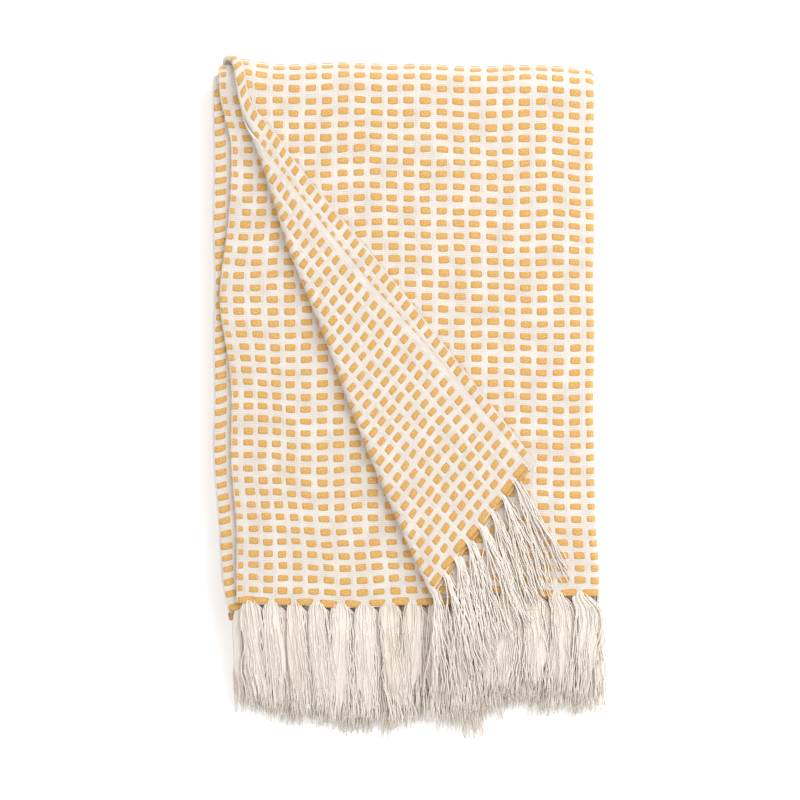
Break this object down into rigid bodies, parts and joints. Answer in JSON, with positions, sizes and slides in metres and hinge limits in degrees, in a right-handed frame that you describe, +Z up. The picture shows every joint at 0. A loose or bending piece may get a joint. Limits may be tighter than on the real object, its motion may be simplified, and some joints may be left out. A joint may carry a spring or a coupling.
{
  "type": "folded throw blanket",
  "caption": "Cotton throw with a small block weave and a fringed hem, folded into a flat oblong stack with one corner turned back.",
  "frame": {"origin": "on the surface that the folded throw lies on, under the middle of its bounding box, fringe included", "axes": "+Z up through the layers, +Y towards the top fold and away from the fringe, +X to the side with the nested long folds"},
  "size_m": [0.3104, 0.536, 0.0499],
  "materials": {
    "woven_cotton": "cream cotton warp with mustard weft blocks, matt and slightly fuzzy",
    "mustard_weft": "mustard cotton yarn, softly spun",
    "fringe_yarn": "undyed cream cotton yarn, loosely twisted"
  },
  "bodies": {
    "root": {"cloth_layer_09": "woven_cotton", "cloth_layer_10": "woven_cotton", "cloth_layer_11": "woven_cotton", "cloth_layer_12": "woven_cotton", "cloth_layer_13": "woven_cotton", "cloth_layer_14": "woven_cotton", "cloth_layer_15": "woven_cotton", "cloth_layer_16": "woven_cotton", "top_fold_1": "woven_cotton", "top_fold_2": "woven_cotton", "top_fold_3": "woven_cotton", "top_fold_4": "woven_cotton", "top_fold_5": "woven_cotton", "top_fold_6": "woven_cotton", "top_fold_7": "woven_cotton", "top_fold_8": "woven_cotton", "bottom_fold_1": "woven_cotton", "bottom_fold_2": "woven_cotton", "bottom_fold_3": "woven_cotton", "bottom_fold_4": "woven_cotton", "side_folds_back_inner": "woven_cotton", "side_folds_back_outer": "woven_cotton"},
    "front_half": {"cloth_layer_01": "woven_cotton", "hem_row_1": "mustard_weft", "cloth_layer_02": "woven_cotton", "hem_row_2": "mustard_weft", "cloth_layer_03": "woven_cotton", "hem_row_3": "mustard_weft", "cloth_layer_04": "woven_cotton", "hem_row_4": "mustard_weft", "cloth_layer_05": "woven_cotton", "hem_row_5": "mustard_weft", "cloth_layer_06": "woven_cotton", "hem_row_6": "mustard_weft", "cloth_layer_07": "woven_cotton", "hem_row_7": "mustard_weft", "cloth_layer_08": "woven_cotton", "hem_row_8": "mustard_weft", "side_folds_front_outer": "woven_cotton", "side_folds_front_inner": "woven_cotton", "crease_roll_1": "woven_cotton", "crease_roll_2": "woven_cotton"},
    "front_fringe": {"fringe_row_1": "fringe_yarn", "fringe_row_2": "fringe_yarn", "fringe_row_3": "fringe_yarn", "fringe_row_4": "fringe_yarn", "fringe_row_5": "fringe_yarn", "fringe_row_6": "fringe_yarn", "fringe_row_7": "fringe_yarn", "fringe_row_8": "fringe_yarn"},
    "turned_corner": {"turned_layer_1": "woven_cotton", "turned_hem_row_1": "mustard_weft", "turned_fringe_row_1": "fringe_yarn", "turned_layer_2": "woven_cotton", "turned_hem_row_2": "mustard_weft", "turned_fringe_row_2": "fringe_yarn"}
  },
  "joints": [
    {"name": "unfold_front", "type": "hinge", "parent": "root", "child": "front_half", "pos_m": [0, 0.24585, 0.025], "axis": [-1, 0, 0], "range_deg": [0, 180], "deforming": ["top_fold_1", "top_fold_2", "top_fold_3", "top_fold_4", "top_fold_5", "top_fold_6", "top_fold_7", "top_fold_8"]},
    {"name": "turn_corner", "type": "hinge", "parent": "front_half", "child": "turned_corner", "pos_m": [0.0216, -0.158, 0.04455], "axis": [0.3675, -0.93, 0], "range_deg": [0, 178], "deforming": ["crease_roll_1", "crease_roll_2", "turned_fringe_row_1", "turned_fringe_row_2"]},
    {"name": "fringe_drop", "type": "hinge", "parent": "front_half", "child": "front_fringe", "pos_m": [0, -0.186, 0.0334], "axis": [-1, 0, 0], "range_deg": [0, 22], "deforming": ["fringe_row_1", "fringe_row_2", "fringe_row_3", "fringe_row_4", "fringe_row_5", "fringe_row_6", "fringe_row_7", "fringe_row_8"]}
  ],
  "couplings": [
    {"joint": "fringe_drop", "follows": "unfold_front", "ratio": 0.12}
  ]
}
